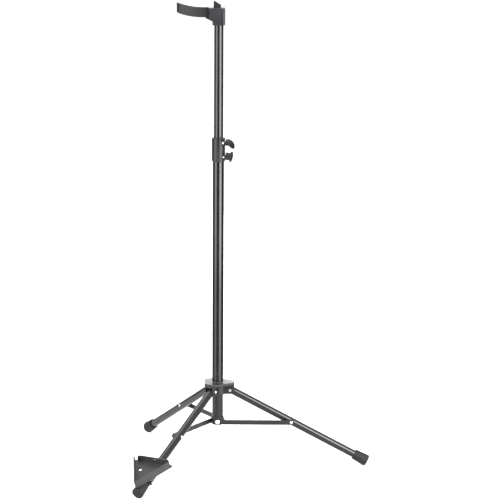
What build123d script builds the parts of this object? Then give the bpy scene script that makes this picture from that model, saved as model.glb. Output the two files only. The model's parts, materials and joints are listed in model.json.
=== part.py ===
from build123d import *

import os
from math import acos, asin, cos, degrees, radians, sin, tan

# Tall folding instrument stand: tripod base, telescoping tube, hook arm and foot cradle.
# Origin on the floor under the centre tube, +Z up, +X along the right leg, millimetres.

os.makedirs("parts", exist_ok=True)

# --- Driving dimensions -------------------------------------------------------------------

running_gap = 0.05      # radial clearance of shafts and pins in their holes
free_gap = 0.3          # side clearance between parts that swing past each other

# Tripod
leg_angles = {"right": 0, "left": 120, "front": -120}
hub_pivot_radius = 26
hub_pivot_height = 162.2
leg_slope = 27.95
leg_radius = 8
leg_wall = 1.2
leg_pin_radius = 154

# Centre tubes
lower_radius = 11.5
lower_wall = 1
lower_bottom = 104.5
lower_top = 670.2
upper_radius = 9.5
upper_wall = 1
upper_bottom = 350
upper_top = 948.2

# Leg hub
hub_bottom = 154.5
hub_height = 24
hub_core_radius = 19
hub_bush_radius = 13.4
lug_half_width = 11.5
lug_end = 34.7
pivot_shank_radius = 2.5

# Bottom spider and braces
spider_bottom = 87.3
spider_radius = 13
facet_offset = 11.6
brace_thickness = 2
brace_half_height = 4.9
brace_ear_radius = 6.2

# Rubber feet
foot_length = 31
foot_mouth_radius = 10.7
foot_tip_radius = 12.4
foot_rim_fillet = 3
foot_sole = 5

# Height clamp
collar_bottom = 642.7
collar_top = 691.9
collar_radius = 13.6
wing_turn = -38         # compass angle of both wing screws, from +X towards the front
wing_heights = {"lower": 652.4, "upper": 681.6}
wing_tilts = {"lower": -17, "upper": 51}

# Head and hook arm
head_bottom = 923.6
head_height = 35.4
arm_top = 959.5
arm_height = 20.2
arm_thickness = 9
arm_bend_start = -35
arm_rise_radius = 119
arm_sweep_radius = 85

# Foot cradle
sheet = 2
cradle_lift = 14.8      # from the front leg's axis to the cradle's upper face
cradle_wall = 14
cradle_apex = -1.5      # the outer corner, from the foot's end
cradle_depth = 80

# --- Derived places -----------------------------------------------------------------------

up = Vector(0, 0, 1)
slope = radians(leg_slope)
# The centre of a foot's end face stands this high, so that its rounded rim meets z = 0.
foot_end_height = (
    (foot_tip_radius - foot_rim_fillet) * cos(slope) + foot_rim_fillet * (1 - sin(slope))
)
leg_length = (hub_pivot_height - foot_end_height) / sin(slope)
pin_along = (leg_pin_radius - hub_pivot_radius) / cos(slope)
pin_height = hub_pivot_height - (leg_pin_radius - hub_pivot_radius) * tan(slope)
brace_offset = facet_offset + free_gap


def outward(angle):
    return Vector(cos(radians(angle)), sin(radians(angle)), 0)


def sideways(angle):
    """The counter-clockwise side of a leg, seen from above."""
    return Vector(-sin(radians(angle)), cos(radians(angle)), 0)


def down_leg(angle):
    return outward(angle) * cos(slope) - up * sin(slope)


def off_leg(angle):
    """Square to the leg, away from the floor."""
    return outward(angle) * sin(slope) + up * cos(slope)


def leg_point(angle, along, side=0, lift=0):
    pivot = outward(angle) * hub_pivot_radius + up * hub_pivot_height
    return pivot + down_leg(angle) * along + sideways(angle) * side + off_leg(angle) * lift


def leg_section(angle, along):
    """Cross-section plane of a leg: x to its side, y off it, z down its length."""
    return Plane(origin=leg_point(angle, along), x_dir=sideways(angle), z_dir=down_leg(angle))


def leg_side(angle, along, side):
    """Plane beside a leg: x down its length, z to the counter-clockwise side."""
    return Plane(
        origin=leg_point(angle, along, side), x_dir=down_leg(angle), z_dir=sideways(angle)
    )


def save(part, name):
    part.label = name
    export_step(part, f"parts/{name}.step")


# --- Centre tubes -------------------------------------------------------------------------

with BuildPart() as lower_tube:
    with BuildSketch(Plane.XY.offset(lower_bottom)):
        Circle(lower_radius)
        Circle(lower_radius - lower_wall, mode=Mode.SUBTRACT)
    extrude(amount=lower_top - lower_bottom)
save(lower_tube.part, "lower_tube")

with BuildPart() as upper_tube:
    with BuildSketch(Plane.XY.offset(upper_bottom)):
        Circle(upper_radius)
        Circle(upper_radius - upper_wall, mode=Mode.SUBTRACT)
    extrude(amount=upper_top - upper_bottom)
save(upper_tube.part, "upper_tube")

# The guide ring centres the upper tube's foot inside the lower tube. The tube turns in it,
# held between the end plug's rim and a clip ring.
guide_ring_height = 18
guide_ring_bottom = upper_bottom + 0.2
clip_height = 1.5
guide_radius = lower_radius - lower_wall - running_gap
with BuildPart() as guide_ring:
    with BuildSketch(Plane.XY.offset(guide_ring_bottom)):
        Circle(guide_radius)
        Circle(upper_radius + running_gap, mode=Mode.SUBTRACT)
    extrude(amount=guide_ring_height)
save(guide_ring.part, "guide_ring")

with BuildPart() as clip_ring:
    with BuildSketch(Plane.XY.offset(guide_ring_bottom + guide_ring_height + 0.2)):
        Circle(guide_radius - free_gap)
        Circle(upper_radius, mode=Mode.SUBTRACT)
    extrude(amount=clip_height)
save(clip_ring.part, "clip_ring")

plug_rim = 1.5
plug_length = 14
plug_wall = 2
with BuildPart() as upper_tube_plug:
    with BuildSketch(Plane.XY.offset(upper_bottom - plug_rim)):
        Circle(guide_radius - free_gap)
    extrude(amount=plug_rim)
    with BuildSketch(Plane.XY.offset(upper_bottom)):
        Circle(upper_radius - upper_wall)
        Circle(upper_radius - upper_wall - plug_wall, mode=Mode.SUBTRACT)
    extrude(amount=plug_length)
save(upper_tube_plug.part, "upper_tube_plug")

# --- Bottom spider and the rivets that the braces turn on ---------------------------------

spigot_height = 16
rivet_depth = 7
with BuildPart() as bottom_spider:
    with BuildSketch(Plane.XY.offset(spider_bottom)):
        Circle(spider_radius)
    extrude(amount=lower_bottom - spider_bottom)
    fillet(bottom_spider.faces().sort_by(Axis.Z)[0].edges(), radius=3.5)
    with BuildSketch(Plane.XY.offset(lower_bottom)):
        Circle(lower_radius - lower_wall)
    extrude(amount=spigot_height)
    for angle in leg_angles.values():
        facet = Plane(
            origin=sideways(angle) * -facet_offset + up * pin_height,
            x_dir=outward(angle),
            z_dir=sideways(angle) * -1,
        )
        with BuildSketch(facet):
            Rectangle(3 * spider_radius, 3 * spider_radius)
        extrude(amount=spider_radius, mode=Mode.SUBTRACT)
        with BuildSketch(facet):
            Circle(pivot_shank_radius)
        extrude(amount=-rivet_depth, mode=Mode.SUBTRACT)
save(bottom_spider.part, "bottom_spider")


def rivet(start, direction, shank_length, shank_radius, head_radius, head_height):
    """A domed rivet: start is under the head, and direction points along the shank."""
    profile_plane = Plane(origin=start, x_dir=direction, z_dir=direction.cross(up))
    centre = (head_radius**2 - head_height**2) / (2 * head_height)
    dome = centre + head_height
    half_way = asin(head_radius / dome) / 2
    with BuildPart() as made:
        with BuildSketch(profile_plane):
            with BuildLine():
                Polyline(
                    (-head_height, 0),
                    (shank_length, 0),
                    (shank_length, shank_radius),
                    (0, shank_radius),
                    (0, head_radius),
                )
                ThreePointArc(
                    (0, head_radius),
                    (centre - dome * cos(half_way), dome * sin(half_way)),
                    (-head_height, 0),
                )
            make_face()
        revolve(axis=Axis(start, direction))
    return made.part


brace_face = brace_offset + brace_thickness
brace_rivets = [
    rivet(
        sideways(angle) * -(brace_face + running_gap) + up * pin_height,
        sideways(angle),
        brace_face + running_gap - facet_offset + rivet_depth,
        pivot_shank_radius,
        4.6,
        1.6,
    )
    for angle in leg_angles.values()
]
with BuildPart() as brace_pivot_rivets:
    for one_rivet in brace_rivets:
        add(one_rivet)
save(brace_pivot_rivets.part, "brace_pivot_rivets")

# --- Braces: flat straps that run past the clockwise side of each leg ----------------------

brace_rivet_head = 3.1
for name, angle in leg_angles.items():
    brace_plane = Plane(
        origin=sideways(angle) * -brace_face + up * pin_height,
        x_dir=outward(angle),
        z_dir=sideways(angle),
    )
    with BuildPart() as brace:
        with BuildSketch(brace_plane):
            with Locations((leg_pin_radius / 2, 0)):
                Rectangle(leg_pin_radius, 2 * brace_half_height)
            Circle(brace_ear_radius)
            with Locations((leg_pin_radius, 0)):
                Circle(brace_half_height)
            Circle(pivot_shank_radius + running_gap, mode=Mode.SUBTRACT)
            with Locations((leg_pin_radius, 0)):
                Circle(pivot_shank_radius, mode=Mode.SUBTRACT)
        extrude(amount=brace_thickness)
    save(brace.part, f"{name}_brace")
    outer_rivet = rivet(
        outward(angle) * leg_pin_radius + sideways(angle) * -brace_face + up * pin_height,
        sideways(angle),
        brace_thickness,
        pivot_shank_radius,
        brace_rivet_head,
        1.2,
    )
    save(outer_rivet, f"{name}_brace_rivet")

# --- Leg hub ------------------------------------------------------------------------------

hub_top = hub_bottom + hub_height
top_plate = 5
slot_half_width = leg_radius + free_gap
slot_inner = hub_pivot_radius - leg_radius - 0.6
slot_roof = hub_pivot_height + leg_radius + 0.8
with BuildPart() as leg_hub:
    with BuildSketch(Plane.XY.offset(hub_bottom)) as hub_outline:
        Circle(hub_core_radius)
        for angle in leg_angles.values():
            with Locations(Location(outward(angle) * (lug_end / 2), (0, 0, angle))):
                Rectangle(lug_end, 2 * lug_half_width)
        lug_corners = hub_outline.vertices().sort_by(lambda vertex: vertex.center().length)[-6:]
        fillet(lug_corners, radius=2.5)
    extrude(amount=hub_height)
    # A six-sided top plate bridges the three lugs.
    with BuildSketch(Plane.XY.offset(hub_top - top_plate)) as plate_outline:
        corners = [
            outward(angle) * lug_end + sideways(angle) * side
            for angle in sorted(leg_angles.values())
            for side in (-lug_half_width, lug_half_width)
        ]
        Polygon(*[(corner.X, corner.Y) for corner in corners], align=None)
        fillet(plate_outline.vertices(), radius=3)
    extrude(amount=top_plate)
    fillet(leg_hub.faces().sort_by(Axis.Z)[-1].edges(), radius=1.2)
    with BuildSketch(Plane.XY.offset(hub_bottom)):
        Circle(hub_bush_radius)
    extrude(amount=hub_height, mode=Mode.SUBTRACT)
    with BuildSketch(Plane.XY.offset(hub_bottom)):
        for angle in leg_angles.values():
            middle = outward(angle) * (slot_inner + lug_end) / 2
            with Locations(Location(middle, (0, 0, angle))):
                Rectangle(lug_end - slot_inner + 1, 2 * slot_half_width)
    extrude(amount=slot_roof - hub_bottom, mode=Mode.SUBTRACT)
    for angle in leg_angles.values():
        with BuildSketch(leg_side(angle, 0, -lug_half_width)):
            Circle(pivot_shank_radius)
        extrude(amount=2 * lug_half_width, mode=Mode.SUBTRACT)
save(leg_hub.part, "leg_hub")

with BuildPart() as hub_bush:
    with BuildSketch(Plane.XY.offset(hub_bottom)):
        Circle(hub_bush_radius)
        Circle(lower_radius + running_gap, mode=Mode.SUBTRACT)
    extrude(amount=hub_height)
save(hub_bush.part, "hub_bush")

pivot_rivets = [
    rivet(
        leg_point(angle, 0, lug_half_width),
        sideways(angle) * -1,
        2 * lug_half_width,
        pivot_shank_radius,
        3.1,
        1.3,
    )
    for angle in leg_angles.values()
]
with BuildPart() as leg_pivot_rivets:
    for one_rivet in pivot_rivets:
        add(one_rivet)
    # The peened tails stand on the lugs' clockwise sides.
    for angle in leg_angles.values():
        with BuildSketch(leg_side(angle, 0, -lug_half_width - 1)):
            Circle(2.9)
        extrude(amount=1)
save(leg_pivot_rivets.part, "leg_pivot_rivets")

# --- Legs: knuckle, tube, rubber foot, pin and spacer -------------------------------------

knuckle_length = 10
spigot_length = 22
tube_end_gap = foot_sole + 0.2
bolt_from_end = 37.5
bolt_radius = 2.5
spacer_radius = 5.2

for name, angle in leg_angles.items():
    with BuildPart() as knuckle:
        with BuildSketch(leg_section(angle, 0)):
            Circle(leg_radius)
        extrude(amount=knuckle_length)
        extrude(knuckle.faces().sort_by(Axis(leg_point(angle, 0), down_leg(angle)))[0],
                amount=leg_radius)
        with BuildSketch(leg_side(angle, 0, -leg_radius)):
            Circle(leg_radius)
            with Locations(((knuckle_length) / 2, 0)):
                Rectangle(knuckle_length, 2 * leg_radius)
        extrude(amount=2 * leg_radius, mode=Mode.INTERSECT)
        with BuildSketch(leg_section(angle, knuckle_length)):
            Circle(leg_radius - leg_wall)
        extrude(amount=spigot_length)
        with BuildSketch(leg_side(angle, 0, -leg_radius)):
            Circle(pivot_shank_radius + running_gap)
        extrude(amount=2 * leg_radius, mode=Mode.SUBTRACT)
    save(knuckle.part, f"{name}_leg_knuckle")

    with BuildPart() as leg_tube:
        with BuildSketch(leg_section(angle, knuckle_length)):
            Circle(leg_radius)
            Circle(leg_radius - leg_wall, mode=Mode.SUBTRACT)
        extrude(amount=leg_length - tube_end_gap - knuckle_length)
        with BuildSketch(leg_side(angle, pin_along, -leg_radius)):
            Circle(pivot_shank_radius)
        extrude(amount=2 * leg_radius, mode=Mode.SUBTRACT)
        if name == "front":
            with BuildSketch(leg_side(angle, leg_length - bolt_from_end, -leg_radius)):
                Circle(bolt_radius)
            extrude(amount=2 * leg_radius, mode=Mode.SUBTRACT)
    save(leg_tube.part, f"{name}_leg_tube")

    end = leg_point(angle, leg_length)
    with BuildPart() as foot:
        with BuildSketch(Plane(origin=end, x_dir=down_leg(angle), z_dir=sideways(angle))):
            with BuildLine():
                Polyline(
                    (0, 0),
                    (0, foot_tip_radius),
                    (-foot_length, foot_mouth_radius),
                    (-foot_length, leg_radius),
                    (-foot_sole, leg_radius),
                    (-foot_sole, 0),
                    close=True,
                )
            make_face()
        revolve(axis=Axis(end, down_leg(angle)))
        rims = foot.edges().filter_by(GeomType.CIRCLE).sort_by(SortBy.RADIUS)
        fillet(rims[-1], radius=foot_rim_fillet)
        fillet(rims[-2], radius=1)
    save(foot.part, f"{name}_foot")

    with BuildPart() as spacer:
        with BuildSketch(leg_side(angle, pin_along, -facet_offset)):
            Circle(spacer_radius)
            Circle(pivot_shank_radius, mode=Mode.SUBTRACT)
        extrude(amount=facet_offset - leg_radius + 2)
        with BuildSketch(leg_section(angle, pin_along - spacer_radius - 1)):
            Circle(leg_radius)
        extrude(amount=2 * spacer_radius + 2, mode=Mode.SUBTRACT)
    save(spacer.part, f"{name}_pin_spacer")

    leg_pin = rivet(
        leg_point(angle, pin_along, leg_radius),
        sideways(angle) * -1,
        leg_radius + facet_offset,
        pivot_shank_radius,
        3.1,
        1.3,
    )
    save(leg_pin, f"{name}_leg_pin")

# --- Foot cradle on the front leg ---------------------------------------------------------

front = leg_angles["front"]
cradle_inner = cradle_apex - cradle_depth
cradle_half_width = cradle_depth * tan(radians(30))
cradle_corners = [
    (cradle_apex, 0),
    (cradle_inner, cradle_half_width),
    (cradle_inner, -cradle_half_width),
]


def cradle_point(along, side, lift):
    """A place in the cradle: from the foot's end, to the side, above the upper face."""
    return leg_point(front, leg_length + along, side, cradle_lift + lift)


def cradle_plane(lift):
    return Plane(origin=cradle_point(0, 0, lift), x_dir=down_leg(front), z_dir=off_leg(front))


def wall_plane(first, second):
    """Plane on a wall's outer face: x along it, y up it, z into the cradle."""
    start = cradle_point(*cradle_corners[first], -sheet)
    finish = cradle_point(*cradle_corners[second], -sheet)
    middle = (start + finish) * 0.5
    x_dir = (start - finish).normalized()
    return Plane(origin=middle, x_dir=x_dir, z_dir=x_dir.cross(off_leg(front)))


side_length = 2 * cradle_half_width
wall_top = sheet + cradle_wall
back_round = 9.5        # rounding of the back wall's upper corners
back_inset = 8.5        # gap between the back wall's ends and the cradle's corners
right_round = 7         # rounding of the right wall's inner end
right_inset = 6.5
left_round = 3          # rounding of the left wall's inner end
left_inset = 5
hole_along = -55.5
hole_side = 19
hole_radius = 3.4
rivet_places = [(-60, 0), (-46, 0)]
slot_side = 4.6
slot_lift = 9
with BuildPart() as cradle_tray:
    with BuildSketch(cradle_plane(-sheet)):
        Polygon(*cradle_corners, align=None)
    extrude(amount=sheet)
    for first, second, insets, rounds in (
        (0, 1, (right_inset, 0), (right_round, 0)),
        (1, 2, (back_inset, back_inset), (back_round, back_round)),
        (2, 0, (0, left_inset), (0, left_round)),
    ):
        with BuildSketch(wall_plane(first, second)) as wall:
            with Locations(((insets[0] - insets[1]) / 2, wall_top / 2)):
                Rectangle(side_length - sum(insets), wall_top)
            upper = wall.vertices().group_by(Axis.Y)[-1].sort_by(Axis.X)
            for corner, radius in zip(upper, rounds):
                if radius:
                    fillet(corner, radius=radius)
        extrude(amount=sheet)
    with BuildSketch(cradle_plane(-sheet)) as outline:
        Polygon(*cradle_corners, align=None)
        fillet(outline.vertices(), radius=3)
    extrude(amount=wall_top, mode=Mode.INTERSECT)
    with BuildSketch(cradle_plane(0)):
        with Locations((cradle_apex - 4, 0)):
            Rectangle(10, 1.2)
    extrude(amount=cradle_wall, mode=Mode.SUBTRACT)
    with BuildSketch(cradle_plane(-sheet)):
        with Locations((hole_along, hole_side), (hole_along, -hole_side)):
            Circle(hole_radius)
        with Locations(*rivet_places):
            Circle(2)
    extrude(amount=sheet, mode=Mode.SUBTRACT)
    with BuildSketch(wall_plane(1, 2)):
        with Locations(Location((slot_side, sheet + slot_lift), 90)):
            SlotOverall(5.5, 2.2)
    extrude(amount=sheet, mode=Mode.SUBTRACT)
save(cradle_tray.part, "cradle_tray")

saddle_start = leg_length - 66
saddle_length = 33
saddle_half_width = leg_radius + free_gap + sheet
with BuildPart() as cradle_saddle:
    with BuildSketch(leg_section(front, saddle_start)):
        top = cradle_lift - sheet
        skirt = 5.5
        with Locations((0, (top - skirt) / 2)):
            Rectangle(2 * saddle_half_width, top + skirt)
        with Locations((0, (top - sheet - skirt) / 2)):
            Rectangle(2 * (leg_radius + free_gap), top - sheet + skirt, mode=Mode.SUBTRACT)
    extrude(amount=saddle_length)
    with BuildSketch(leg_side(front, leg_length - bolt_from_end, -saddle_half_width)):
        Circle(bolt_radius)
    extrude(amount=2 * saddle_half_width, mode=Mode.SUBTRACT)
    with BuildSketch(cradle_plane(-2 * sheet)):
        with Locations(*rivet_places):
            Circle(2)
    extrude(amount=sheet, mode=Mode.SUBTRACT)
save(cradle_saddle.part, "cradle_saddle")

# The rivets are set flush in the cradle's floor, with their tails under the saddle.
rivet_tail = 1
with BuildPart() as cradle_rivets:
    with BuildSketch(cradle_plane(0)):
        with Locations(*rivet_places):
            Circle(2)
    extrude(amount=-2 * sheet)
    with BuildSketch(cradle_plane(-2 * sheet)):
        with Locations(*rivet_places):
            Circle(3)
    extrude(amount=-rivet_tail)
save(cradle_rivets.part, "cradle_rivets")

washer_thickness = 1
nut_height = 3.2
head_thickness = 3.5
bolt_at = leg_length - bolt_from_end
with BuildPart() as saddle_bolt:
    with BuildSketch(leg_side(front, bolt_at, -saddle_half_width)):
        RegularPolygon(radius=4, side_count=6, major_radius=False)
    extrude(amount=-head_thickness)
    with BuildSketch(leg_side(front, bolt_at, -saddle_half_width)):
        Circle(bolt_radius)
    extrude(amount=2 * saddle_half_width + washer_thickness + nut_height + 1)
save(saddle_bolt.part, "saddle_bolt")

with BuildPart() as saddle_washer:
    with BuildSketch(leg_side(front, bolt_at, saddle_half_width)):
        Circle(4.9)
        Circle(bolt_radius, mode=Mode.SUBTRACT)
    extrude(amount=washer_thickness)
save(saddle_washer.part, "saddle_washer")

with BuildPart() as saddle_nut:
    with BuildSketch(leg_side(front, bolt_at, saddle_half_width + washer_thickness)):
        RegularPolygon(radius=4, side_count=6, major_radius=False)
        Circle(bolt_radius, mode=Mode.SUBTRACT)
    extrude(amount=nut_height)
save(saddle_nut.part, "saddle_nut")

# --- Height clamp -------------------------------------------------------------------------

bush_radius = 10.8
lip_height = 2
sleeve_radii = {"lower": 3.6, "upper": 4.6}
sleeve_end = 18
screw_radius = 2.5
wing_axis = outward(wing_turn)


def wing_plane(height, distance):
    """Plane square to a wing screw's axis, at a distance from the tube's centre."""
    return Plane(
        origin=wing_axis * distance + up * height, x_dir=sideways(wing_turn), z_dir=wing_axis
    )


with BuildPart() as clamp_collar:
    with BuildSketch(Plane.XY.offset(collar_bottom)):
        Circle(collar_radius)
    extrude(amount=collar_top - collar_bottom)
    chamfer(clamp_collar.faces().sort_by(Axis.Z)[0].edges(), length=1.6)
    fillet(clamp_collar.faces().sort_by(Axis.Z)[-1].edges(), radius=1)
    for bottom, top, radius in (
        (collar_bottom, lower_top, lower_radius),
        (lower_top, collar_top - lip_height, bush_radius),
        (collar_top - lip_height, collar_top, upper_radius + 0.25),
    ):
        with BuildSketch(Plane.XY.offset(bottom)):
            Circle(radius)
        extrude(amount=top - bottom, mode=Mode.SUBTRACT)
    for name, height in wing_heights.items():
        with BuildSketch(wing_plane(height, 0)):
            Circle(sleeve_radii[name])
        extrude(amount=collar_radius, mode=Mode.SUBTRACT)
save(clamp_collar.part, "clamp_collar")

pad_radius = 2.4
with BuildPart() as clamp_bush:
    with BuildSketch(Plane.XY.offset(lower_top)):
        Circle(bush_radius)
        Circle(upper_radius + running_gap, mode=Mode.SUBTRACT)
    extrude(amount=collar_top - lip_height - lower_top)
    with BuildSketch(Plane.XY.offset(lower_top)):
        with Locations(Location(wing_axis * -upper_radius, (0, 0, wing_turn))):
            Rectangle(2 * upper_radius, 1.5)
    extrude(amount=collar_top - lower_top, mode=Mode.SUBTRACT)
    with BuildSketch(wing_plane(wing_heights["upper"], 0)):
        Circle(pad_radius + running_gap)
    extrude(amount=collar_radius, mode=Mode.SUBTRACT)
save(clamp_bush.part, "clamp_bush")

pad_inner = upper_radius + 0.1
pad_thickness = 0.9
with BuildPart() as clamp_pad:
    with BuildSketch(wing_plane(wing_heights["upper"], 0)):
        Circle(pad_radius)
    extrude(amount=pad_inner + pad_thickness)
    with BuildSketch(Plane.XY.offset(lower_top)):
        Circle(pad_inner)
    extrude(amount=collar_top - lower_top, mode=Mode.SUBTRACT)
save(clamp_pad.part, "clamp_pad")

sleeve_starts = {"lower": lower_radius + 0.4, "upper": bush_radius + 0.3}
with BuildPart() as thread_sleeves:
    for name, height in wing_heights.items():
        with BuildSketch(wing_plane(height, sleeve_starts[name])):
            Circle(sleeve_radii[name])
            Circle(screw_radius + running_gap, mode=Mode.SUBTRACT)
        extrude(amount=sleeve_end - sleeve_starts[name])
save(thread_sleeves.part, "thread_sleeves")

# Each wing knob is a domed oval blade on a web and a round boss. Its sizes are half the
# blade's length, half its width, half the web's width at the root and at the blade, the
# blade's bow, and how far the blade and web sit off the screw's axis.
knob_sizes = {"lower": (10.8, 3.6, 7.5, 7.5, 0.8, -2.8), "upper": (16, 6.2, 4.4, 8, 2.6, 0)}
knob_start = 18.5
shank_end = 27
blade_crown = 34.5
blade_thickness = 2.6
web_half_thickness = 2
boss_radius = 4.4
screw_tips = {"lower": lower_radius + 0.1, "upper": pad_inner + pad_thickness + 0.1}
for name, height in wing_heights.items():
    half_length, half_width, web_root, web_half_width, blade_bow, shift = knob_sizes[name]
    long_dir = sideways(wing_turn) * sin(radians(wing_tilts[name]))
    long_dir = long_dir - up * cos(radians(wing_tilts[name]))
    middle = up * height + long_dir * shift
    web_plane = Plane(origin=middle, x_dir=long_dir, z_dir=long_dir.cross(wing_axis))
    rim = blade_crown - blade_bow
    with BuildPart() as knob:
        with BuildSketch(web_plane):
            with BuildLine():
                ThreePointArc((-half_length, rim), (0, blade_crown), (half_length, rim))
                Line((half_length, rim), (half_length, rim - blade_thickness))
                ThreePointArc(
                    (half_length, rim - blade_thickness),
                    (0, blade_crown - blade_thickness),
                    (-half_length, rim - blade_thickness),
                )
                Line((-half_length, rim - blade_thickness), (-half_length, rim))
            make_face()
        extrude(amount=half_width, both=True)
        with BuildSketch(Plane(origin=middle, x_dir=long_dir, z_dir=wing_axis)):
            Ellipse(half_length, half_width)
        extrude(amount=blade_crown, mode=Mode.INTERSECT)
        with BuildSketch(web_plane):
            Polygon(
                (-web_root, knob_start),
                (web_root, knob_start),
                (web_half_width, blade_crown - blade_thickness / 2),
                (-web_half_width, blade_crown - blade_thickness / 2),
                align=None,
            )
        extrude(amount=web_half_thickness, both=True)
        with BuildSketch(wing_plane(height, knob_start)):
            Circle(boss_radius)
        extrude(amount=rim - blade_thickness - knob_start)
        with BuildSketch(wing_plane(height, knob_start)):
            Circle(screw_radius)
        extrude(amount=shank_end - knob_start, mode=Mode.SUBTRACT)
    save(knob.part, f"{name}_wing_knob")

    with BuildPart() as shank:
        with BuildSketch(wing_plane(height, screw_tips[name])):
            Circle(screw_radius)
        extrude(amount=shank_end - screw_tips[name])
        chamfer(shank.faces().sort_by(Axis((0, 0, height), wing_axis))[0].edges(), length=0.6)
    save(shank.part, f"{name}_wing_shank")

# --- Head block and hook arm --------------------------------------------------------------

arm_root = -20.8
arm_tip = -83
boss_half_depth = 12.5
core_thickness = 3
core_height = 13
core_root = -11.5
core_tip = -78


def hook_band(thickness, height, root, tip):
    """An upright band that runs left, sweeps forward in plan and rises towards its tip."""
    middle = arm_top - arm_height / 2
    half = thickness / 2
    sweep = degrees(asin((arm_bend_start - tip) / arm_sweep_radius))
    rise = degrees(asin((arm_bend_start - tip + 4) / arm_rise_radius))
    with BuildPart() as band:
        with BuildSketch(Plane.XY.offset(arm_top - 2 * arm_height)):
            with BuildLine():
                back = CenterArc(
                    (arm_bend_start, -arm_sweep_radius), arm_sweep_radius + half, 90, sweep
                )
                face = CenterArc(
                    (arm_bend_start, -arm_sweep_radius), arm_sweep_radius - half, 90, sweep
                )
                Line(back @ 1, face @ 1)
                Polyline(back @ 0, (root, half), (root, -half), face @ 0)
            make_face()
        extrude(amount=4 * arm_height)
        with BuildSketch(Plane.XZ):
            with BuildLine():
                over = CenterArc(
                    (arm_bend_start, middle + height / 2 + arm_rise_radius),
                    arm_rise_radius,
                    270,
                    -rise,
                )
                under = CenterArc(
                    (arm_bend_start, middle - height / 2 + arm_rise_radius),
                    arm_rise_radius,
                    270,
                    -rise,
                )
                Line(over @ 1, under @ 1)
                Polyline(
                    over @ 0,
                    (root, middle + height / 2),
                    (root, middle - height / 2),
                    under @ 0,
                )
            make_face()
        extrude(amount=2 * arm_sweep_radius, both=True, mode=Mode.INTERSECT)
    return band.part


arm_outer = hook_band(arm_thickness, arm_height, arm_root, arm_tip)
core_space = hook_band(core_thickness + 0.2, core_height + 0.2, arm_root, core_tip - 0.2)
core_bar = hook_band(core_thickness, core_height, core_root, core_tip)
core_middle = arm_top - arm_height / 2
core_screw_places = [(-16.2, core_middle + 3.6), (-16.2, core_middle - 3.6)]

with BuildPart() as hook_sleeve:
    add(arm_outer)
    add(core_space, mode=Mode.SUBTRACT)
save(hook_sleeve.part, "hook_sleeve")

with BuildPart() as hook_core:
    add(core_bar)
    with BuildSketch(Plane.XZ):
        with Locations(*core_screw_places):
            Circle(1.5)
    extrude(amount=core_thickness, both=True, mode=Mode.SUBTRACT)
save(hook_core.part, "hook_core")

head_half_width = 13
head_half_depth = 12.5
socket_depth = upper_top - head_bottom
set_screw_height = head_bottom + 11.6
head_top = head_bottom + head_height
lip_top = head_top + 13.2
with BuildPart() as head_block:
    with BuildSketch(Plane.XY.offset(head_bottom)):
        RectangleRounded(2 * head_half_width, 2 * head_half_depth, 4)
    extrude(amount=head_height)
    fillet(head_block.faces().sort_by(Axis.Z)[-1].edges(), radius=2.5)
    with BuildSketch(Plane.XZ):
        Polygon(
            (-8, arm_top - 0.4),
            (arm_root + 0.1, arm_top - 0.4),
            (arm_root + 0.1, arm_top - arm_height - 0.1),
            (-27, arm_top - arm_height - 0.1),
            (-27, arm_top - arm_height - 1),
            (-8, arm_top - arm_height - 10.2),
            align=None,
        )
    extrude(amount=boss_half_depth, both=True)
    # The upright lip that keeps the instrument from sliding past the block.
    with BuildSketch(Plane.XZ.offset(-2)) as lip:
        Polygon(
            (-10.8, head_top - 6),
            (4.3, head_top - 6),
            (4.3, head_top + 5.8),
            (-8.2, lip_top),
            (-10.8, lip_top),
            align=None,
        )
        fillet(lip.vertices().group_by(Axis.Y)[-1], radius=1.2)
    extrude(amount=5, both=True)
    with BuildSketch(Plane.XY.offset(head_bottom)):
        Circle(upper_radius)
    extrude(amount=socket_depth, mode=Mode.SUBTRACT)
    with BuildSketch(Plane.XZ):
        with Locations(((arm_root + core_root) / 2, core_middle)):
            Rectangle(core_root - arm_root, core_height)
    extrude(amount=core_thickness / 2, both=True, mode=Mode.SUBTRACT)
    with BuildSketch(Plane.XZ.offset(boss_half_depth - 3)):
        with Locations((-20, core_middle - 1)):
            Rectangle(1.6, 8.8)
    extrude(amount=3, mode=Mode.SUBTRACT)
    with BuildSketch(Plane.XZ):
        with Locations(*core_screw_places):
            Circle(1.5)
    extrude(amount=-boss_half_depth, mode=Mode.SUBTRACT)
    with BuildSketch(Plane.XZ):
        with Locations((0, set_screw_height)):
            Circle(2)
    extrude(amount=-head_half_depth, mode=Mode.SUBTRACT)
save(head_block.part, "head_block")

with BuildPart() as core_screws:
    with BuildSketch(Plane.XZ.offset(-boss_half_depth)):
        with Locations(*core_screw_places):
            Circle(2.8)
    extrude(amount=-1.6)
    with BuildSketch(Plane.XZ.offset(-boss_half_depth)):
        with Locations(*core_screw_places):
            Circle(1.5)
    extrude(amount=boss_half_depth + core_thickness / 2)
save(core_screws.part, "core_screws")

with BuildPart() as head_set_screw:
    with BuildSketch(Plane.XZ.offset(-head_half_depth)):
        with Locations((0, set_screw_height)):
            Circle(3.8)
    extrude(amount=-2)
    with BuildSketch(Plane.XZ.offset(-head_half_depth)):
        with Locations((0, set_screw_height)):
            Circle(2)
    extrude(amount=head_half_depth - upper_radius - 0.1)
save(head_set_screw.part, "head_set_screw")

# --- Printed summary ----------------------------------------------------------------------

leg_fold = 90 - leg_slope
brace_fold = 90 - degrees(asin(hub_pivot_radius / leg_pin_radius))
folded_height = pin_along + leg_pin_radius * sin(acos(hub_pivot_radius / leg_pin_radius))
hub_travel = folded_height - (hub_pivot_height - pin_height)
print("leg length", round(leg_length, 2), "pin height", round(pin_height, 2))
print("leg fold", round(leg_fold, 2), "brace fold", round(brace_fold, 2))
print("hub travel", round(hub_travel, 2))
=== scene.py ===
import json
import math

import bmesh
import bpy
from mathutils import Matrix, Vector


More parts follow.
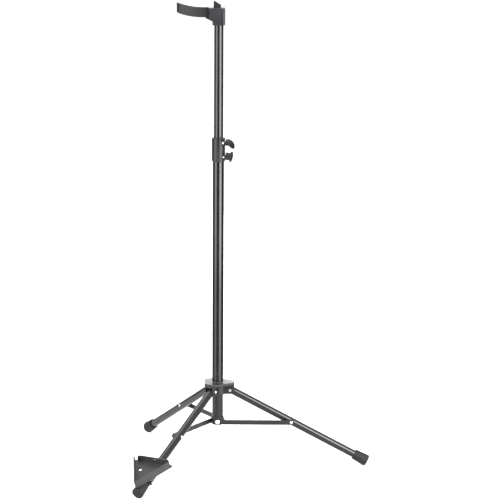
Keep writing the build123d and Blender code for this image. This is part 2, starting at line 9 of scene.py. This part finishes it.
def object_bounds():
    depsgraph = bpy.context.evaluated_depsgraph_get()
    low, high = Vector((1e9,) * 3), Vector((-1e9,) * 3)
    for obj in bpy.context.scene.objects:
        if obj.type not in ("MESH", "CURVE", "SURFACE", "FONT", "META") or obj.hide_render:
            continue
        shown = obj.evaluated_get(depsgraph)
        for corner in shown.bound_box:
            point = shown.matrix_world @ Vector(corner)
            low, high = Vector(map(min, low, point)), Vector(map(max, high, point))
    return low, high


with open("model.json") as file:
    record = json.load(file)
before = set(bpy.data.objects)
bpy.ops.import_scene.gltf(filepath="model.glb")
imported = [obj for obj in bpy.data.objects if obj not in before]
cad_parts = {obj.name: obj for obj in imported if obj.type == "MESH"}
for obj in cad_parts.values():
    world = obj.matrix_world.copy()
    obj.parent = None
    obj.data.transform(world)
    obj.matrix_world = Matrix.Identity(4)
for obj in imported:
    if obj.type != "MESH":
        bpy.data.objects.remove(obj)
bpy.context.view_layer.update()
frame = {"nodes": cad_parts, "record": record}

MM = 0.001
nodes = frame["nodes"]
record = frame["record"]
scene = bpy.context.scene

# --- Camera: a long lens from the front, looking a little down ----------------------------

CAMERA_PLACE = Vector((0.095, -5.769, 1.554))
PITCH = math.radians(10.76)
YAW = math.radians(-0.29)
ROLL = math.radians(0.31)
SENSOR = 36.0
LENS = 204.7

forward = Vector(
    (math.sin(YAW) * math.cos(PITCH), math.cos(YAW) * math.cos(PITCH), -math.sin(PITCH))
)
level_right = forward.cross(Vector((0, 0, 1))).normalized()
level_up = level_right.cross(forward)
right = level_right * math.cos(ROLL) + level_up * math.sin(ROLL)
up = level_up * math.cos(ROLL) - level_right * math.sin(ROLL)

camera_data = bpy.data.cameras.new("camera")
camera_data.sensor_width = SENSOR
camera_data.lens = LENS
camera_data.clip_start = 0.1
camera_data.clip_end = 200
camera = bpy.data.objects.new("camera", camera_data)
scene.collection.objects.link(camera)
camera.matrix_world = Matrix(
    (
        (right.x, up.x, -forward.x, CAMERA_PLACE.x),
        (right.y, up.y, -forward.y, CAMERA_PLACE.y),
        (right.z, up.z, -forward.z, CAMERA_PLACE.z),
        (0, 0, 0, 1),
    )
)
scene.camera = camera

# --- Studio: a white room and soft boxes round the stand ----------------------------------

# How bright the room is above and below the horizon, and the heights at which the dim part
# ends and the white part starts: 0 is straight down, 0.5 level and 1 straight up.
ROOM_ABOVE = 1.0
ROOM_BELOW = 0.1
BELOW_UP_TO = 0.49
ABOVE_FROM = 0.5

scene.view_settings.view_transform = "Standard"
scene.view_settings.look = "None"

# The room is white above the horizon and dim below it, so that tubes keep dark sides.
world = bpy.data.worlds.new("studio")
world.use_nodes = True
room = world.node_tree
background = room.nodes["Background"]
direction = room.nodes.new("ShaderNodeTexCoord")
split = room.nodes.new("ShaderNodeSeparateXYZ")
horizon = room.nodes.new("ShaderNodeValToRGB")
horizon.color_ramp.elements[0].position = BELOW_UP_TO
horizon.color_ramp.elements[0].color = (ROOM_BELOW, ROOM_BELOW, ROOM_BELOW, 1)
horizon.color_ramp.elements[1].position = ABOVE_FROM
horizon.color_ramp.elements[1].color = (ROOM_ABOVE, ROOM_ABOVE, ROOM_ABOVE, 1)
height = room.nodes.new("ShaderNodeMapRange")
height.inputs["From Min"].default_value = -1
room.links.new(direction.outputs["Generated"], split.inputs["Vector"])
room.links.new(split.outputs["Z"], height.inputs["Value"])
room.links.new(height.outputs["Result"], horizon.inputs["Fac"])
room.links.new(horizon.outputs["Color"], background.inputs["Color"])
background.inputs["Strength"].default_value = 1.0
scene.world = world


def soft_box(name, azimuth, distance, height, width, tall, radiance, aim):
    """An area light aimed at a height on the mast.

    azimuth is in degrees, from the camera's side towards +X, and distance, height, width,
    tall and aim are in metres.
    """
    data = bpy.data.lights.new(name, "AREA")
    data.shape = "RECTANGLE"
    data.size = width
    data.size_y = tall
    data.energy = radiance * math.pi * width * tall
    light = bpy.data.objects.new(name, data)
    scene.collection.objects.link(light)
    angle = math.radians(azimuth)
    place = Vector((math.sin(angle) * distance, -math.cos(angle) * distance, height))
    light.location = place
    light.rotation_euler = (Vector((0, 0, aim)) - place).to_track_quat("-Z", "Y").to_euler()
    light.visible_camera = False


# The foot boxes and the back box's lower part are below the floor, where only gloss sees
# them.
soft_box(
    "left box", azimuth=-54, distance=3.0, height=1.5, width=2.4, tall=3.4, radiance=5.4,
    aim=1.5,
)
soft_box(
    "left box foot", azimuth=-54, distance=3.0, height=-0.75, width=2.4, tall=1.1,
    radiance=2.4, aim=-0.75,
)
soft_box(
    "right box", azimuth=46, distance=3.0, height=1.5, width=2.5, tall=3.4, radiance=10.0,
    aim=1.5,
)
soft_box(
    "right box foot", azimuth=46, distance=3.0, height=-0.75, width=2.5, tall=1.1,
    radiance=4.2, aim=-0.75,
)
soft_box(
    "top box", azimuth=180, distance=0.7, height=2.6, width=1.6, tall=1.0, radiance=3.7,
    aim=0.0,
)
soft_box(
    "back box", azimuth=180, distance=3.0, height=0.6, width=1.6, tall=6.0, radiance=2.4,
    aim=0.6,
)

# --- Materials ----------------------------------------------------------------------------

# The stretches of the patch noise over which the colour and the roughness drift, and how
# detailed the two noises are.
COLOUR_DRIFT = (0.35, 0.65)
ROUGHNESS_DRIFT = (0.3, 0.7)
PATCH_DETAIL = 4
GRAIN_DETAIL = 3


def surface(
    name, dark, light, rough, grain, bump, metallic=0.0, specular=0.5, mottle=25.0
):
    """A surface whose colour and roughness drift gently, with a fine moulded or sprayed grain.

    dark and light are the two colours it drifts between, rough the two roughnesses, grain
    the size of the grain in millimetres, bump its depth in millimetres, and mottle how many
    patches there are to a metre, roughly.
    """
    material = bpy.data.materials.new(name)
    material.use_nodes = True
    tree = material.node_tree
    shader = tree.nodes["Principled BSDF"]
    shader.inputs["Metallic"].default_value = metallic
    shader.inputs["Specular IOR Level"].default_value = specular

    place = tree.nodes.new("ShaderNodeTexCoord")
    patches = tree.nodes.new("ShaderNodeTexNoise")
    patches.inputs["Scale"].default_value = mottle
    patches.inputs["Detail"].default_value = PATCH_DETAIL
    tree.links.new(place.outputs["Object"], patches.inputs["Vector"])

    colour = tree.nodes.new("ShaderNodeValToRGB")
    for element, position, shade in zip(
        colour.color_ramp.elements, COLOUR_DRIFT, (dark, light)
    ):
        element.position = position
        element.color = (*shade, 1)
    tree.links.new(patches.outputs["Fac"], colour.inputs["Fac"])
    tree.links.new(colour.outputs["Color"], shader.inputs["Base Color"])

    roughness = tree.nodes.new("ShaderNodeMapRange")
    roughness.inputs["From Min"].default_value = ROUGHNESS_DRIFT[0]
    roughness.inputs["From Max"].default_value = ROUGHNESS_DRIFT[1]
    roughness.inputs["To Min"].default_value = rough[0]
    roughness.inputs["To Max"].default_value = rough[1]
    tree.links.new(patches.outputs["Fac"], roughness.inputs["Value"])
    tree.links.new(roughness.outputs["Result"], shader.inputs["Roughness"])

    fine = tree.nodes.new("ShaderNodeTexNoise")
    fine.inputs["Scale"].default_value = 1 / (grain * MM)
    fine.inputs["Detail"].default_value = GRAIN_DETAIL
    tree.links.new(place.outputs["Object"], fine.inputs["Vector"])
    relief = tree.nodes.new("ShaderNodeBump")
    relief.inputs["Strength"].default_value = 1.0
    relief.inputs["Distance"].default_value = bump * MM
    tree.links.new(fine.outputs["Fac"], relief.inputs["Height"])
    tree.links.new(relief.outputs["Normal"], shader.inputs["Normal"])
    return material


looks = {
    "gloss_black_tube": surface(
        "gloss black tube", dark=(0.005, 0.005, 0.0055), light=(0.008, 0.008, 0.0085),
        rough=(0.13, 0.18), grain=3.0, bump=0.001, mottle=18,
    ),
    "black_strap": surface(
        "black strap", dark=(0.008, 0.008, 0.0076), light=(0.014, 0.014, 0.0134),
        rough=(0.34, 0.46), grain=0.7, bump=0.01, specular=0.35,
    ),
    "black_sheet": surface(
        "black sheet", dark=(0.021, 0.0214, 0.0206), light=(0.034, 0.0346, 0.0334),
        rough=(0.3, 0.42), grain=0.6, bump=0.012,
    ),
    "black_rubber": surface(
        "black rubber", dark=(0.007, 0.007, 0.0066), light=(0.014, 0.014, 0.0132),
        rough=(0.6, 0.76), grain=0.5, bump=0.05, specular=0.3,
    ),
    "soft_black_sleeve": surface(
        "soft black sleeve", dark=(0.008, 0.0086, 0.0078), light=(0.013, 0.0139, 0.0126),
        rough=(0.55, 0.68), grain=0.5, bump=0.03, specular=0.25,
    ),
    "grey_nylon": surface(
        "grey nylon", dark=(0.22, 0.22, 0.215), light=(0.3, 0.3, 0.29),
        rough=(0.45, 0.6), grain=0.6, bump=0.01,
    ),
    "bright_rivet": surface(
        "bright rivet", dark=(0.66, 0.66, 0.65), light=(0.8, 0.8, 0.79),
        rough=(0.16, 0.28), grain=0.5, bump=0.006, metallic=1.0, mottle=160,
    ),
    "plated_steel": surface(
        "plated steel", dark=(0.5, 0.5, 0.49), light=(0.66, 0.66, 0.64),
        rough=(0.24, 0.38), grain=0.4, bump=0.006, metallic=1.0, mottle=120,
    ),
    "dark_nut": surface(
        "dark nut", dark=(0.03, 0.03, 0.03), light=(0.06, 0.06, 0.06),
        rough=(0.3, 0.45), grain=0.5, bump=0.008, metallic=0.6, mottle=120,
    ),
    "black_plastic": surface(
        "black plastic", dark=(0.008, 0.0083, 0.0096), light=(0.014, 0.0145, 0.0163),
        rough=(0.32, 0.46), grain=0.45, bump=0.02, specular=0.35,
    ),
}

# The knobs are of a darker, harder plastic than the mouldings on the tubes.
knob_look = surface(
    "hard black knob", dark=(0.005, 0.005, 0.0055), light=(0.009, 0.009, 0.0095),
    rough=(0.3, 0.42), grain=0.5, bump=0.015, specular=0.3,
)
node_looks = {"lower_wing_knob": knob_look, "upper_wing_knob": knob_look}

slots = {entry["node"]: entry["material_slot"] for entry in record["subparts"]}
for name, piece in nodes.items():
    if not piece.material_slots:
        piece.data.materials.append(None)
    for material_slot in piece.material_slots:
        material_slot.link = "OBJECT"
        material_slot.material = node_looks.get(name, looks[slots[name]])

# --- Soft edges ---------------------------------------------------------------------------

EDGE_ANGLE = math.radians(30)    # an edge that turns by more than this is rounded
EDGE_SEGMENTS = 2


def soften(name, width):
    """Rounds a piece's sharp edges by a width in millimetres and smooths its shading."""
    piece = nodes[name]
    for polygon in piece.data.polygons:
        polygon.use_smooth = True
    edge = piece.modifiers.new("edge", "BEVEL")
    edge.width = width * MM
    edge.segments = EDGE_SEGMENTS
    edge.limit_method = "ANGLE"
    edge.angle_limit = EDGE_ANGLE
    edge.harden_normals = True
    edge.use_clamp_overlap = True


soft_widths = {
    "leg_hub": 0.7,
    "head_block": 0.7,
    "hook_sleeve": 2.2,
    "cradle_tray": 0.5,
    "cradle_saddle": 0.4,
    "right_brace": 0.35,
    "left_brace": 0.35,
    "front_brace": 0.35,
    "lower_wing_knob": 0.7,
    "upper_wing_knob": 0.7,
    "saddle_nut": 0.3,
    "saddle_bolt": 0.3,
}
for name, width in soft_widths.items():
    soften(name, width)

# --- Floor --------------------------------------------------------------------------------

WIDE_RADIUS = 60
NEAR_RADIUS = 0.75
RIM_POINTS = 96
WIDE_GLOW = 0.25
NEAR_GLOW = 0.9

low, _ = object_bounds()


def floor_disc(name, radius, material):
    """A round stretch of floor under the stand."""
    mesh = bpy.data.meshes.new(name)
    outline = bmesh.new()
    bmesh.ops.create_circle(outline, cap_ends=True, segments=RIM_POINTS, radius=radius)
    outline.to_mesh(mesh)
    outline.free()
    mesh.materials.append(material)
    disc = bpy.data.objects.new(name, mesh)
    disc.location.z = low.z
    scene.collection.objects.link(disc)
    return disc


def floor_finish(name, glow):
    """A pale matt floor that glows a little, so that it stays white to the eye."""
    material = surface(
        name, dark=(0.86, 0.86, 0.86), light=(0.88, 0.88, 0.88), rough=(0.8, 0.9), grain=3.0,
        bump=0.01, specular=0.1, mottle=2,
    )
    shader = material.node_tree.nodes["Principled BSDF"]
    shader.inputs["Emission Color"].default_value = (1, 1, 1, 1)
    shader.inputs["Emission Strength"].default_value = glow
    return material


# The wide floor is what the camera sees; gloss reflects only the near part of it.
wide_floor = floor_disc("wide_floor", WIDE_RADIUS, floor_finish("pale floor", WIDE_GLOW))
wide_floor.visible_glossy = False
near_floor = floor_disc("near_floor", NEAR_RADIUS, floor_finish("near floor", NEAR_GLOW))
near_floor.visible_camera = False
near_floor.visible_diffuse = False
near_floor.visible_shadow = False
